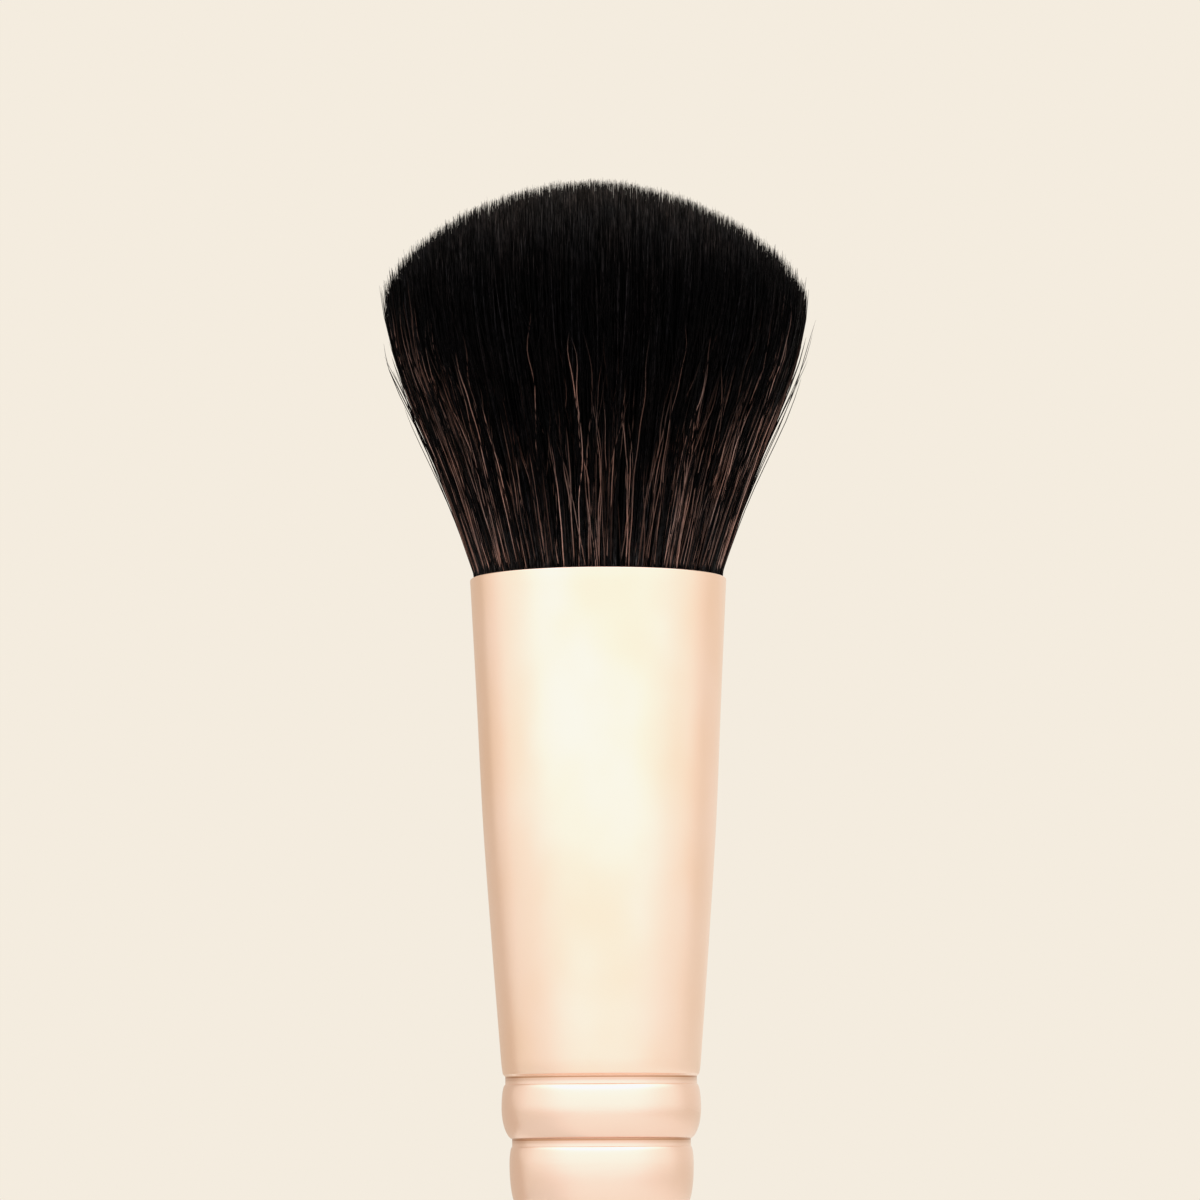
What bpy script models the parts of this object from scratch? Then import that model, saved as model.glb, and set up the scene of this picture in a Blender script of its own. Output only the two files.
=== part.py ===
"""A blush brush: a flared filament tuft in a crimped metal ferrule, on a turned wooden handle.

Lengths are in metres. +Z runs along the brush towards the tuft, and the origin is the centre of
the handle's tail. Depths run down from the ferrule's mouth and heights run up from it.
"""

import math

import bmesh
import bpy
from mathutils import Vector
from mathutils.geometry import delaunay_2d_cdt

# Gap left between two pieces that touch
SEAT_GAP = 0.0003

# Ferrule: one drawn tube, with a long tapered body, three crimped grooves and the beads between
MOUTH_RADIUS = 0.01003
FERRULE_WALL = 0.00035
MOUTH_ROUND = 0.00014
BODY_LENGTH = 0.03862
NECK_RADIUS = 0.00768
GROOVE_EDGE = 0.00015
GROOVE_FLOOR = 0.00062
UPPER_GROOVE_RADIUS = 0.00744
MIDDLE_GROOVE_RADIUS = 0.00693
LOWER_GROOVE_RADIUS = 0.00645
UPPER_BEAD_LENGTH = 0.00418
UPPER_BEAD_RADIUS = 0.00774
LOWER_BEAD_LENGTH = 0.0046
LOWER_BEAD_RADIUS = 0.00714
COLLAR_LENGTH = 0.00216
COLLAR_RADIUS = 0.0068
COLLAR_END_RADIUS = 0.00668
# How far along the body each station lies, and how much of the taper is done there
BODY_DEPTH_SHARES = (0.0, 0.24, 0.48, 0.73, 1.0)
BODY_TAPER_SHARES = (0.0, 0.2, 0.385, 0.665, 1.0)
# Where a bead's crest lies along it, and the powers that shape its two flanks: 0.5 is round, and
# more is leaner
UPPER_CREST_SHARE = 0.43
LOWER_CREST_SHARE = 0.3
COLLAR_CREST_SHARE = 0.4
UPPER_BEAD_POWERS = (0.5, 0.6)
LOWER_BEAD_POWERS = (0.5, 0.46)
COLLAR_POWERS = (0.5, 0.5)

# Handle: turned wood, with a tenon inside the ferrule that ends short of the resin cup
HANDLE_LENGTH = 0.0920
SHOULDER_RADIUS = 0.00695
SHOULDER_ROUND = 0.0006
SWELL_RADIUS = 0.0077
TAIL_RADIUS = 0.0036
TAIL_ROUND = 0.0032
TAIL_FLAT_RADIUS = 0.0015
TENON_AIR = 0.0045
TENON_CHAMFER = 0.0008
# How far up from the tail's rounding each station lies, and its radius between tail and swell.
# The last height is the shoulder's, which has a radius of its own.
HANDLE_HEIGHT_SHARES = (0.0, 0.16, 0.36, 0.56, 0.76, 1.0)
HANDLE_SWELL_SHARES = (0.0, 0.12, 0.42, 0.8, 1.0)

# Glue sleeve between the tenon and the ferrule
GLUE_THICKNESS = 0.0003
GLUE_SETBACK = 0.0009

# Tuft: the strands above the mouth, and the tied root bundle below it
TUFT_HEIGHT = 0.0314
TUFT_RADIUS = 0.0171
DOME_HEIGHT = 0.0109
DOME_FULLNESS = 1.85
ROOT_FACE_DEPTH = 0.0008
ROOT_LENGTH = 0.0222
STRAND_COUNT = 360
STRAND_SIDES = 3
STRAND_FILL_SHARE = 0.4
STRAND_RIM = 0.00005
STRAND_KNOT_SHARES = (0.0, 0.45, 0.82)
# How far up the tuft each station lies, and the radius there of the bundle that the strands
# follow, between the mouth and the tuft's greatest radius. Past the dome's base it runs on
# outside the dome, which cuts the strands off.
FLARE_HEIGHT_SHARES = (0.0, 0.25, 0.5, 0.62, 0.75, 1.0)
FLARE_SPREAD_SHARES = (0.0, 0.41, 0.83, 1.0, 1.05, 1.08)

# Thread that ties the root bundle, in a waist near its lower end
THREAD_DIAMETER = 0.0007
THREAD_SPACING = 0.00045
THREAD_TURNS = 3
THREAD_POINTS_A_TURN = 24
THREAD_COVER = 0.0001
WAIST_SLOPE = 0.0011
ROOT_HEEL = 0.0008

# Cup of resin round the lower end of the root bundle
CUP_LIP = 0.0008
CUP_WALL = 0.0006
CUP_FLOOR = 0.0025

# Sides of every turned piece, points on each curved stretch of an outline, the angle past which
# an edge is sharp, and the halvings that find where a strand meets the dome
SEGMENTS = 32
SHOWN_STEPS = 4
HIDDEN_STEPS = 2
SHARP_ANGLE = math.radians(40)
HALVINGS = 40

# Places that follow from the sizes above
CRIMP_LENGTH = GROOVE_EDGE + GROOVE_FLOOR + UPPER_BEAD_LENGTH + GROOVE_FLOOR + LOWER_BEAD_LENGTH
FERRULE_LENGTH = BODY_LENGTH + CRIMP_LENGTH + GROOVE_FLOOR + COLLAR_LENGTH
MOUTH_Z = HANDLE_LENGTH + SEAT_GAP + FERRULE_LENGTH
ROOT_END_DEPTH = ROOT_FACE_DEPTH + ROOT_LENGTH
CUP_END_DEPTH = ROOT_END_DEPTH + SEAT_GAP + CUP_FLOOR
THREAD_PITCH = THREAD_DIAMETER + THREAD_SPACING
WAIST_LENGTH = SEAT_GAP + THREAD_TURNS * THREAD_PITCH + THREAD_DIAMETER + SEAT_GAP
WAIST_END_DEPTH = ROOT_END_DEPTH - ROOT_HEEL - WAIST_SLOPE
WAIST_TOP_DEPTH = WAIST_END_DEPTH - WAIST_LENGTH
CUP_TOP_DEPTH = WAIST_TOP_DEPTH - WAIST_SLOPE - CUP_LIP
TENON_TOP_DEPTH = CUP_END_DEPTH + TENON_AIR
GOLDEN_ANGLE = math.pi * (3 - math.sqrt(5))


def clear_scene():
    """Start from an empty file."""
    for old in list(bpy.data.objects):
        bpy.data.objects.remove(old)


def material(name, color, roughness, metallic=0.0):
    """One plain surface."""
    made = bpy.data.materials.new(name)
    made.use_nodes = True
    shader = made.node_tree.nodes["Principled BSDF"]
    shader.inputs["Base Color"].default_value = (*color, 1.0)
    shader.inputs["Roughness"].default_value = roughness
    shader.inputs["Metallic"].default_value = metallic
    return made


def smooth_value(places, values, place):
    """The value at a place on a curve through stations, which never overshoots them."""
    last = len(places) - 1
    slopes = [(values[i + 1] - values[i]) / (places[i + 1] - places[i]) for i in range(last)]
    at_station = [slopes[0]]
    for before, after in zip(slopes, slopes[1:]):
        rising = before * after > 0
        at_station.append(2 * before * after / (before + after) if rising else 0.0)
    at_station.append(slopes[-1])
    i = max(k for k in range(last) if k == 0 or place >= places[k])
    width = places[i + 1] - places[i]
    t = (place - places[i]) / width
    return (
        values[i] * (2 * t**3 - 3 * t**2 + 1)
        + values[i + 1] * (3 * t**2 - 2 * t**3)
        + width * at_station[i] * (t**3 - 2 * t**2 + t)
        + width * at_station[i + 1] * (t**3 - t**2)
    )


def bead_outline(top, length, radii, crest_share, powers, steps):
    """A bead's outline from the floor of one groove over its crest to the next floor.

    radii are those of the floor above, the crest and the floor below.
    """
    above, crest, below = radii
    crest_depth = top + length * crest_share
    points = []
    for step in range(steps + 1):
        out = math.cos(step / steps * math.pi / 2)
        rise = max(0, 1 - out * out) ** powers[0]
        points.append((crest_depth + (top - crest_depth) * out, above + (crest - above) * rise))
    for step in range(1, steps + 1):
        out = math.sin(step / steps * math.pi / 2)
        rise = max(0, 1 - out * out) ** powers[1]
        points.append((crest_depth + (top + length - crest_depth) * out, below + (crest - below) * rise))
    return points


def ferrule_outline(steps):
    """The ferrule's outside from its mouth down, as (depth, radius) points."""
    points = []
    for share in (step / (2 * steps) for step in range(2 * steps + 1)):
        taper = smooth_value(BODY_DEPTH_SHARES, BODY_TAPER_SHARES, share)
        points.append((BODY_LENGTH * share, MOUTH_RADIUS + (NECK_RADIUS - MOUTH_RADIUS) * taper))
    upper_bead = BODY_LENGTH + GROOVE_EDGE + GROOVE_FLOOR
    lower_bead = upper_bead + UPPER_BEAD_LENGTH + GROOVE_FLOOR
    collar = lower_bead + LOWER_BEAD_LENGTH + GROOVE_FLOOR
    points.append((BODY_LENGTH + GROOVE_EDGE, UPPER_GROOVE_RADIUS))
    upper_radii = (UPPER_GROOVE_RADIUS, UPPER_BEAD_RADIUS, MIDDLE_GROOVE_RADIUS)
    lower_radii = (MIDDLE_GROOVE_RADIUS, LOWER_BEAD_RADIUS, LOWER_GROOVE_RADIUS)
    collar_radii = (LOWER_GROOVE_RADIUS, COLLAR_RADIUS, COLLAR_END_RADIUS)
    points += bead_outline(
        upper_bead, UPPER_BEAD_LENGTH, upper_radii, UPPER_CREST_SHARE, UPPER_BEAD_POWERS, steps
    )
    points += bead_outline(
        lower_bead, LOWER_BEAD_LENGTH, lower_radii, LOWER_CREST_SHARE, LOWER_BEAD_POWERS, steps
    )
    points += bead_outline(
        collar, COLLAR_LENGTH, collar_radii, COLLAR_CREST_SHARE, COLLAR_POWERS, steps
    )
    return points


def radius_at(outline, depth):
    """An outline's radius at a depth."""
    for (depth_a, radius_a), (depth_b, radius_b) in zip(outline, outline[1:]):
        if depth <= depth_b:
            break
    return radius_a + (radius_b - radius_a) * (depth - depth_a) / (depth_b - depth_a)


def stretch(outline, top, bottom, inset):
    """The part of an outline between two depths, set in by a distance."""
    inner = [(depth, radius - inset) for depth, radius in outline if top < depth < bottom]
    first = (top, radius_at(outline, top) - inset)
    last = (bottom, radius_at(outline, bottom) - inset)
    return [first, *inner, last]


def rounded_mouth(outline):
    """The ferrule's outside with its mouth edge rounded."""
    _, radius = outline[0]
    arc = []
    for step in range(SHOWN_STEPS + 1):
        angle = step / SHOWN_STEPS * math.pi / 2
        sink = MOUTH_ROUND * (1 - math.sin(angle))
        arc.append((sink, radius - MOUTH_ROUND * (1 - math.cos(angle))))
    return arc[::-1] + outline[1:]


def finish(name, mesh_builder, surface):
    """An object from a bmesh, smooth on its round faces."""
    bmesh.ops.recalc_face_normals(mesh_builder, faces=mesh_builder.faces)
    mesh = bpy.data.meshes.new(name)
    mesh_builder.to_mesh(mesh)
    mesh_builder.free()
    mesh.materials.append(surface)
    mesh.shade_smooth()
    mesh.set_sharp_from_angle(angle=SHARP_ANGLE)
    made = bpy.data.objects.new(name, mesh)
    bpy.context.collection.objects.link(made)
    return made


def ring(builder, depth, radius):
    """The points of a turned outline at one depth: a circle, or one point on the axis."""
    if radius == 0:
        return [builder.verts.new((0, 0, MOUTH_Z - depth))]
    turns = (2 * math.pi * side / SEGMENTS for side in range(SEGMENTS))
    return [
        builder.verts.new((radius * math.cos(turn), radius * math.sin(turn), MOUTH_Z - depth))
        for turn in turns
    ]


def join_rings(builder, above, below):
    """The band of faces between two rings of a turned piece."""
    for side in range(SEGMENTS):
        near, far = side, (side + 1) % SEGMENTS
        corners = [above[near % len(above)], below[near % len(below)]]
        corners += [below[far % len(below)], above[far % len(above)]]
        builder.faces.new(dict.fromkeys(corners))


def turned(name, outline, surface, closed=False):
    """A solid turned round the Z axis from (depth, radius) points."""
    builder = bmesh.new()
    rings = [ring(builder, depth, radius) for depth, radius in outline]
    for above, below in zip(rings, rings[1:]):
        join_rings(builder, above, below)
    if closed:
        join_rings(builder, rings[-1], rings[0])
    return finish(name, builder, surface)


def make_ferrule():
    """The drawn and crimped tube."""
    outside = rounded_mouth(ferrule_outline(SHOWN_STEPS))
    inside = stretch(ferrule_outline(HIDDEN_STEPS), 0, FERRULE_LENGTH, FERRULE_WALL)
    surface = material("rose_gold_metal", (0.83, 0.55, 0.4), 0.3, 1.0)
    return turned("ferrule", outside + inside[::-1], surface, closed=True)


def make_tenon_adhesive():
    """The sleeve of glue round the tenon, pressed into the grooves by the crimps."""
    outline = ferrule_outline(HIDDEN_STEPS)
    outer_inset = FERRULE_WALL + SEAT_GAP
    top = TENON_TOP_DEPTH + TENON_CHAMFER
    bottom = FERRULE_LENGTH - GLUE_SETBACK
    outside = stretch(outline, top, bottom, outer_inset)
    inside = stretch(outline, top, bottom, outer_inset + GLUE_THICKNESS)
    surface = material("tenon_glue", (0.75, 0.68, 0.5), 0.4)
    return turned("tenon_adhesive", outside + inside[::-1], surface, closed=True)


def make_handle():
    """The turned handle: its tenon, its shoulder, the swell, the taper and the rounded tail."""
    tenon_inset = FERRULE_WALL + SEAT_GAP + GLUE_THICKNESS + SEAT_GAP
    outline = ferrule_outline(HIDDEN_STEPS)
    shoulder_depth = FERRULE_LENGTH + SEAT_GAP
    chamfered = TENON_TOP_DEPTH + TENON_CHAMFER
    tenon = stretch(outline, chamfered, FERRULE_LENGTH, tenon_inset)
    points = [(TENON_TOP_DEPTH, 0), (TENON_TOP_DEPTH, tenon[0][1] - TENON_CHAMFER), *tenon]
    points.append((shoulder_depth, tenon[-1][1]))
    for step in range(SHOWN_STEPS + 1):
        angle = step / SHOWN_STEPS * math.pi / 2
        drop = SHOULDER_ROUND * (1 - math.cos(angle))
        inward = SHOULDER_ROUND * (1 - math.sin(angle))
        points.append((shoulder_depth + drop, SHOULDER_RADIUS - inward))
    low, high = TAIL_ROUND, HANDLE_LENGTH - SHOULDER_ROUND
    shoulder_share = (SHOULDER_RADIUS - TAIL_RADIUS) / (SWELL_RADIUS - TAIL_RADIUS)
    swells = (*HANDLE_SWELL_SHARES, shoulder_share)
    steps = 3 * SHOWN_STEPS
    for share in (1 - step / steps for step in range(1, steps + 1)):
        swell = smooth_value(HANDLE_HEIGHT_SHARES, swells, share)
        radius = TAIL_RADIUS + (SWELL_RADIUS - TAIL_RADIUS) * swell
        points.append((MOUTH_Z - low - (high - low) * share, radius))
    for step in range(1, SHOWN_STEPS + 1):
        angle = step / SHOWN_STEPS * math.pi / 2
        radius = TAIL_FLAT_RADIUS + (TAIL_RADIUS - TAIL_FLAT_RADIUS) * math.cos(angle)
        points.append((MOUTH_Z - TAIL_ROUND * (1 - math.sin(angle)), radius))
    points.append((MOUTH_Z, 0))
    surface = material("handle_lacquer", (0.02, 0.018, 0.018), 0.25)
    return turned("handle", points, surface)


def seat_radius(depth):
    """The greatest radius of a piece that sits inside the ferrule's body."""
    return radius_at(ferrule_outline(HIDDEN_STEPS), depth) - FERRULE_WALL - SEAT_GAP


def cup_radius(depth):
    """The radius of the root bundle inside the resin cup."""
    return seat_radius(depth) - CUP_WALL - SEAT_GAP


def waist_radius():
    """The radius of the waist that the thread pulls into the root bundle."""
    return cup_radius(WAIST_END_DEPTH) - THREAD_COVER - THREAD_DIAMETER - SEAT_GAP


def make_root_adhesive():
    """The cup of set resin round the lower end of the root bundle."""
    inner_end = ROOT_END_DEPTH + SEAT_GAP
    outside = [(d, seat_radius(d)) for d in (CUP_TOP_DEPTH, inner_end, CUP_END_DEPTH)]
    inside = [(d, seat_radius(d) - CUP_WALL) for d in (inner_end, CUP_TOP_DEPTH)]
    outline = [(inner_end, 0), *inside, *outside, (CUP_END_DEPTH, 0)]
    return turned("root_adhesive", outline, material("root_resin", (0.6, 0.45, 0.2), 0.25))


def bundle_radius(height):
    """The radius of the flaring bundle that the strands follow, at a height over the mouth."""
    mouth = seat_radius(0)
    if height <= 0:
        return mouth
    spread = smooth_value(FLARE_HEIGHT_SHARES, FLARE_SPREAD_SHARES, height / TUFT_HEIGHT)
    return mouth + (TUFT_RADIUS - mouth) * spread


def dome_radius(height):
    """The radius of the dome that the tips lie on."""
    rise = max(0.0, (height - TUFT_HEIGHT + DOME_HEIGHT) / DOME_HEIGHT)
    return TUFT_RADIUS * max(0.0, 1 - rise**DOME_FULLNESS) ** (1 / DOME_FULLNESS)


def tip_height(share):
    """Where a strand that starts at this share of the root's radius meets the dome."""
    low, high = 0.0, TUFT_HEIGHT
    for _ in range(HALVINGS):
        middle = (low + high) / 2
        if share * bundle_radius(middle) < dome_radius(middle):
            low = middle
        else:
            high = middle
    return low


def strand_rings(number):
    """The corners of one strand, ring by ring from its root, and its tip."""
    mouth_radius = bundle_radius(0)
    root_thick = STRAND_FILL_SHARE * mouth_radius * math.sqrt(math.pi / STRAND_COUNT)
    inscribed = seat_radius(ROOT_FACE_DEPTH) * math.cos(math.pi / SEGMENTS)
    outermost = (inscribed - root_thick - STRAND_RIM) / mouth_radius
    share = outermost * math.sqrt((number + 0.5) / STRAND_COUNT)
    angle = number * GOLDEN_ANGLE
    tip_top = tip_height(share)
    rings = []
    for knot in STRAND_KNOT_SHARES:
        height = knot * tip_top - (1 - knot) * ROOT_FACE_DEPTH
        spread = bundle_radius(height)
        centre = Vector((math.cos(angle), math.sin(angle), 0)) * share * spread
        thick = root_thick * spread / mouth_radius
        corners = [angle + 2 * math.pi * side / STRAND_SIDES for side in range(STRAND_SIDES)]
        level = [centre + thick * Vector((math.cos(c), math.sin(c), 0)) for c in corners]
        rings.append([Vector((x, y, MOUTH_Z + height)) for x, y, _ in level])
    away = share * bundle_radius(tip_top)
    tip = Vector((away * math.cos(angle), away * math.sin(angle), MOUTH_Z + tip_top))
    return rings, tip


def root_outline():
    """The root bundle from its cut face down: the body, the stretch in the cup, and the waist."""
    narrowed = CUP_TOP_DEPTH - SEAT_GAP
    points = [(d, seat_radius(d)) for d in (ROOT_FACE_DEPTH, narrowed - CUP_WALL - SEAT_GAP)]
    points += [(d, cup_radius(d)) for d in (narrowed, WAIST_TOP_DEPTH - WAIST_SLOPE)]
    points += [(d, waist_radius()) for d in (WAIST_TOP_DEPTH, WAIST_END_DEPTH)]
    points += [(d, cup_radius(d)) for d in (WAIST_END_DEPTH + WAIST_SLOPE, ROOT_END_DEPTH)]
    return [*points, (ROOT_END_DEPTH, 0)]


def make_tuft():
    """The root bundle with every strand growing out of its cut face, as one closed body."""
    builder = bmesh.new()
    rings = [ring(builder, depth, radius) for depth, radius in root_outline()]
    for above, below in zip(rings, rings[1:]):
        join_rings(builder, above, below)
    face_verts = list(rings[0])
    owners = [None] * SEGMENTS
    edges = [(side, (side + 1) % SEGMENTS) for side in range(SEGMENTS)]
    for number in range(STRAND_COUNT):
        corners, tip = strand_rings(number)
        levels = [[builder.verts.new(corner) for corner in level] for level in corners]
        tip = builder.verts.new(tip)
        for side in range(STRAND_SIDES):
            far = (side + 1) % STRAND_SIDES
            for low, high in zip(levels, levels[1:]):
                builder.faces.new((low[side], low[far], high[far], high[side]))
            builder.faces.new((levels[-1][side], levels[-1][far], tip))
        first = len(face_verts)
        edges += [(first + s, first + (s + 1) % STRAND_SIDES) for s in range(STRAND_SIDES)]
        face_verts += levels[0]
        owners += [number] * STRAND_SIDES
    flat = [vert.co.xy for vert in face_verts]
    _, _, triangles, originals, _, _ = delaunay_2d_cdt(flat, edges, [], 0, 0.0)
    for triangle in triangles:
        corners = [originals[corner][0] for corner in triangle]
        if len({owners[corner] for corner in corners}) > 1 or owners[corners[0]] is None:
            builder.faces.new([face_verts[corner] for corner in corners])
    return finish("tuft", builder, material("black_filament", (0.012, 0.01, 0.009), 0.5))


def make_binding_thread():
    """The thread wound round the waist of the root bundle, as one helix with straight ends."""
    radius = waist_radius() + SEAT_GAP + THREAD_DIAMETER / 2
    middle = (WAIST_TOP_DEPTH + WAIST_END_DEPTH) / 2
    count = THREAD_TURNS * THREAD_POINTS_A_TURN
    points = []
    for number in range(count + 1):
        turn = 2 * math.pi * number / THREAD_POINTS_A_TURN
        climb = THREAD_PITCH * (number / THREAD_POINTS_A_TURN - THREAD_TURNS / 2)
        points.append(
            Vector((radius * math.cos(turn), radius * math.sin(turn), MOUTH_Z - middle + climb))
        )
    for end, neighbour in ((0, 1), (-1, -2)):
        outward = (points[end] - points[neighbour]).normalized() * THREAD_DIAMETER
        straight = points[end] + outward
        points.insert(0 if end == 0 else len(points), straight)
    apart = THREAD_POINTS_A_TURN // 2
    pairs = ((a, b) for i, a in enumerate(points) for b in points[i + apart :])
    least_gap = min((a - b).length for a, b in pairs) - THREAD_DIAMETER
    print(f"binding_thread keeps {least_gap * 1000:.2f} mm to itself")
    curve = bpy.data.curves.new("binding_thread", "CURVE")
    curve.dimensions = "3D"
    curve.bevel_depth = THREAD_DIAMETER / 2
    curve.bevel_resolution = 1
    curve.use_fill_caps = True
    spline = curve.splines.new("POLY")
    spline.points.add(len(points) - 1)
    for slot, point in zip(spline.points, points):
        slot.co = (*point, 1)
    curve.materials.append(material("binding_yarn", (0.8, 0.76, 0.66), 0.8))
    made = bpy.data.objects.new("binding_thread", curve)
    bpy.context.collection.objects.link(made)
    return made


clear_scene()
make_handle()
make_tenon_adhesive()
make_ferrule()
make_root_adhesive()
make_binding_thread()
make_tuft()
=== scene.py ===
"""The blush brush as it looks: fine filaments, a rose-gold ferrule and a lacquered handle.

Lengths are in metres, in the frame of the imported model. +Z runs along the brush towards the tuft,
and the origin is the centre of the handle's tail. Depths run down from the ferrule's mouth and
heights run up from it. Colours are linear light.
"""

import math

import bmesh
import bpy
import numpy as np
from mathutils import Matrix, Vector
from mathutils.kdtree import KDTree


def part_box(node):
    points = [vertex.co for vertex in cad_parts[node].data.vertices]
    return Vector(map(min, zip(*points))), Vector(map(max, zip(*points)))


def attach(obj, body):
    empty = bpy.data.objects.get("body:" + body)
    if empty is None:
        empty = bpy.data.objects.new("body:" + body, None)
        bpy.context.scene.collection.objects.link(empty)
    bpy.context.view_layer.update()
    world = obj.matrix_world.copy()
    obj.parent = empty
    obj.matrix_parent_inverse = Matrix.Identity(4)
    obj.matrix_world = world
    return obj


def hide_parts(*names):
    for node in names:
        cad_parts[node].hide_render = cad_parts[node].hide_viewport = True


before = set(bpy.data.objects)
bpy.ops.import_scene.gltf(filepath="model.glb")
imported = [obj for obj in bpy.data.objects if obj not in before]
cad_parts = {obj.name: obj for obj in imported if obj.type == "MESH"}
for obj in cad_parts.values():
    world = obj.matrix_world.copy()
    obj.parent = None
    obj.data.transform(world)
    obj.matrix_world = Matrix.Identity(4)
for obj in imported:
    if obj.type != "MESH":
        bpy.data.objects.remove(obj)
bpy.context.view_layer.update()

MM = 0.001

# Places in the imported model
MOUTH_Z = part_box("ferrule")[1].z
MOUTH_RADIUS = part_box("ferrule")[1].x
FERRULE_END_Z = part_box("ferrule")[0].z
TUFT_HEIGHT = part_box("tuft")[1].z - MOUTH_Z
ROOT_END_DEPTH = MOUTH_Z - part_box("tuft")[0].z

# Photograph: its frame in pixels, and where its lens was
PHOTO_SIDE_PX = 1200
FOCAL_PX = 5521
HORIZON_PX = 1150.5
AXIS_LEFT_PX = 1.7
LEAN = math.radians(0.34)
SENSOR_MM = 36
CAMERA_DISTANCE = 430 * MM
CAMERA_BELOW_MOUTH = 44.5 * MM
CLIP_START = 10 * MM
CLIP_END = 100_000 * MM

# Studio
CREAM = (0.905, 0.839, 0.737)
FLOOR_COLOUR = (0.90, 0.885, 0.85)
FLOOR_ROUGHNESS = 0.9
FLOOR_SHINE = 0.1
FLOOR_RADIUS = 8000 * MM
FLOOR_SIDES = 128
# Painted shade on the floor near the brush, on its left: how far to the left, as shares of the
# distance, and how near
FLOOR_SHADE_COLOUR = (0.78, 0.76, 0.72)
FLOOR_LEFT_SHARES = (-1.0, -0.5)
FLOOR_NEAR = (350 * MM, 800 * MM)
# How the film rounds off light that is nearly white, and which of its curves holds for all colours
TONE_CURVE = ((0, 0), (0.91, 0.91), (1.0, 0.945), (1.2, 0.955), (2.0, 0.957))
COMBINED_CURVE = 3
# Lit screen round the front: its colours ahead and at the sides, how it fades with the angle from
# straight ahead, how high its soft lower edge is ahead and at the sides, and its brighter top
SCREEN_DISTANCE = 600 * MM
SCREEN_HEIGHT = 900 * MM
SCREEN_REACH = math.radians(125)
SCREEN_COLUMNS = 50
SCREEN_AHEAD = (0.45, 0.525, 0.64)
SCREEN_ASIDE = (0.235, 0.31, 0.35)
SCREEN_TURNS = [math.radians(angle) for angle in (40, 90)]
SCREEN_FADES = [math.radians(angle) for angle in (85, 122)]
SCREEN_LOWS = (30 * MM, 70 * MM)
SCREEN_LOW_TURNS = [math.radians(angle) for angle in (15, 90)]
SCREEN_SOFT = 35 * MM
SCREEN_TOP = (280 * MM, 460 * MM)
SCREEN_TOP_GAIN = 2.1
# Beige card: how far round from its middle it reaches behind the brush, and ahead below a slant
# and above it
CARD_AZIMUTH = math.radians(-154)
CARD_BEHIND = math.radians(28)
CARD_AHEAD_LOW = math.radians(40)
CARD_AHEAD_HIGH = math.radians(29)
CARD_DISTANCE = 250 * MM
CARD_SLANT = (95 * MM, 125 * MM)
CARD_HEIGHT = 600 * MM
CARD_RADIANCE = (0.71, 0.61, 0.50)

# Ferrule outline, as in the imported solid
FERRULE_WALL = 0.35 * MM
MOUTH_ROUND = 0.14 * MM
BODY_LENGTH = 38.62 * MM
NECK_RADIUS = 7.68 * MM
GROOVE_EDGE = 0.15 * MM
GROOVE_FLOOR = 0.62 * MM
UPPER_GROOVE_RADIUS = 7.44 * MM
MIDDLE_GROOVE_RADIUS = 6.93 * MM
LOWER_GROOVE_RADIUS = 6.45 * MM
UPPER_BEAD_LENGTH = 4.18 * MM
UPPER_BEAD_RADIUS = 7.74 * MM
LOWER_BEAD_LENGTH = 4.6 * MM
LOWER_BEAD_RADIUS = 7.14 * MM
COLLAR_LENGTH = 2.16 * MM
COLLAR_RADIUS = 6.8 * MM
COLLAR_END_RADIUS = 6.68 * MM
BODY_DEPTH_SHARES = (0.0, 0.24, 0.48, 0.73, 1.0)
BODY_TAPER_SHARES = (0.0, 0.2, 0.385, 0.665, 1.0)
UPPER_CREST_SHARE = 0.43
LOWER_CREST_SHARE = 0.3
COLLAR_CREST_SHARE = 0.4
UPPER_BEAD_POWERS = (0.5, 0.6)
LOWER_BEAD_POWERS = (0.5, 0.46)
COLLAR_POWERS = (0.5, 0.5)
FERRULE_LENGTH = MOUTH_Z - FERRULE_END_Z
# Rounding of the body's lower edge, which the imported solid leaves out
NECK_ROUND = 1.2 * MM
NECK_DROP = 0.09 * MM

# Ferrule finish. Grains are how many there are a metre, across, back and up.
ROSE_GOLD = (0.96, 0.735, 0.625)
# Gold of the beads below the upper groove, painted darker as shade
SHADED_BEAD_GOLD = (0.90, 0.66, 0.55)
# Colour of the painted shade in the grooves
GROOVE_SHADE_GOLD = (0.47, 0.24, 0.13)
UPPER_GROOVE_DEPTH = BODY_LENGTH + GROOVE_EDGE
MIDDLE_GROOVE_DEPTH = UPPER_GROOVE_DEPTH + GROOVE_FLOOR + UPPER_BEAD_LENGTH
LOWER_GROOVE_DEPTH = MIDDLE_GROOVE_DEPTH + GROOVE_FLOOR + LOWER_BEAD_LENGTH
GROOVE_DEPTHS = (UPPER_GROOVE_DEPTH, MIDDLE_GROOVE_DEPTH, LOWER_GROOVE_DEPTH)
# Painted shade in a groove: a dark line a little below its upper edge, and a fainter shade under it
SHADE_SINK = 0.09 * MM
SHADE_REACHES = (0.14 * MM, 0.18 * MM, 0.18 * MM)
SHADE_START = 0.01 * MM
UNDER_SHADE_SHARE = 0.42
UNDER_SHADE_LENGTHS = (0.14 * MM, 0.42 * MM)
# How far below the upper groove the painted shade on the beads grows to full
BEAD_SHADE_EDGE = 0.3 * MM
SMUDGE_GRAINS = (130, 130, 90)
GOLD_ROUGHNESS = 0.25
SMUDGED_GOLD = (0.93, 0.675, 0.53)

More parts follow.
